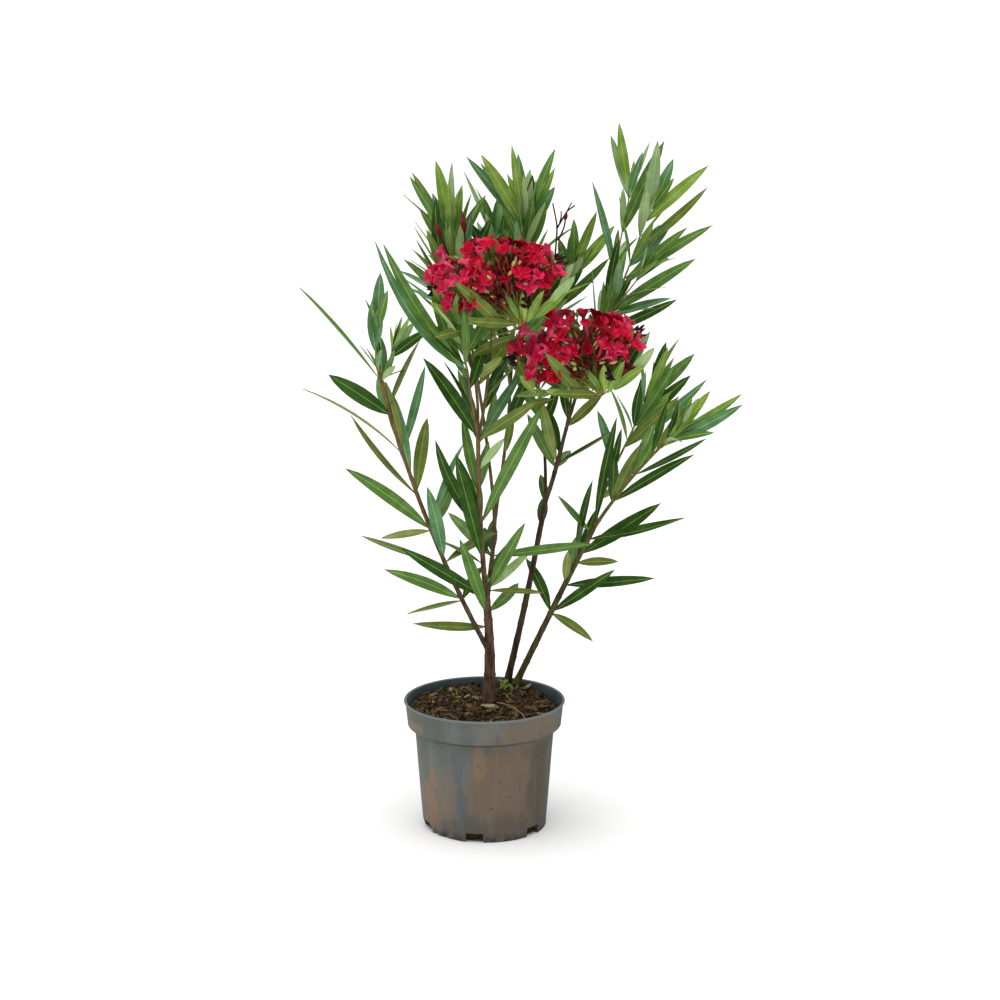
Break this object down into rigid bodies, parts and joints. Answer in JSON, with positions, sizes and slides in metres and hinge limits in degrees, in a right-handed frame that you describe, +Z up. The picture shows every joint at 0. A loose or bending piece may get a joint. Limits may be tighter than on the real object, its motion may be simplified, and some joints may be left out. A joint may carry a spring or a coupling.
{
  "type": "potted oleander",
  "caption": "Potted oleander shrub: slim forked stems, narrow whorled leaves and crimson flower heads, in a round tapered nursery pot with a deep collar.",
  "frame": {"origin": "the middle of the pot's flat underside", "axes": "+Z up from the underside to the top of the crown, +X to the side that the stems of the taller group lean to, +Y to the back"},
  "size_m": [0.5948, 0.415, 0.9516],
  "materials": {
    "pot": "matt, dusty",
    "compost": "rough, crumbly",
    "bark": "ringed bark, green towards the tips",
    "leaf": "leathery satin",
    "blossom": "soft petal"
  },
  "bodies": {
    "root": {"pot": "pot", "soil": "compost", "front_bough": "bark", "front_flower_branch": "bark", "front_left_branch": "bark", "front_middle_branch": "bark", "left_bough": "bark", "main_stem": "bark", "middle_front_branch": "bark", "middle_rear_branch": "bark", "middle_stem": "bark", "rear_bough": "bark", "rear_left_branch": "bark", "rear_right_branch": "bark", "right_flower_branch": "bark", "right_front_branch": "bark", "right_rear_branch": "bark", "right_stem": "bark", "upper_right_bough": "bark", "front_left_shoot": "leaf", "front_left_whorl": "leaf", "front_low_whorl": "leaf", "front_lowest_whorl": "leaf", "front_middle_shoot": "leaf", "front_middle_whorl": "leaf", "front_top_whorl": "leaf", "front_upper_whorl": "leaf", "left_fifth_whorl": "leaf", "left_fourth_whorl": "leaf", "left_inner_shoot": "leaf", "left_low_whorl": "leaf", "left_lowest_whorl": "leaf", "left_outer_shoot": "leaf", "left_second_whorl": "leaf", "left_third_whorl": "leaf", "left_top_whorl": "leaf", "main_stem_whorl": "leaf", "middle_rear_shoot": "leaf", "middle_stem_whorl": "leaf", "middle_top_whorl": "leaf", "rear_left_shoot": "leaf", "rear_low_whorl": "leaf", "rear_middle_shoot": "leaf", "rear_middle_whorl": "leaf", "rear_right_shoot": "leaf", "right_branch_whorl": "leaf", "right_front_shoot": "leaf", "right_inner_whorl": "leaf", "right_low_whorl": "leaf", "right_outer_whorl": "leaf", "right_rear_shoot": "leaf", "right_second_whorl": "leaf", "right_third_whorl": "leaf", "right_top_whorl": "leaf", "upper_inner_shoot": "leaf", "upper_low_shoot": "leaf", "upper_right_shoot": "leaf", "left_flower_head": "blossom", "right_flower_head": "blossom"}
  },
  "joints": []
}
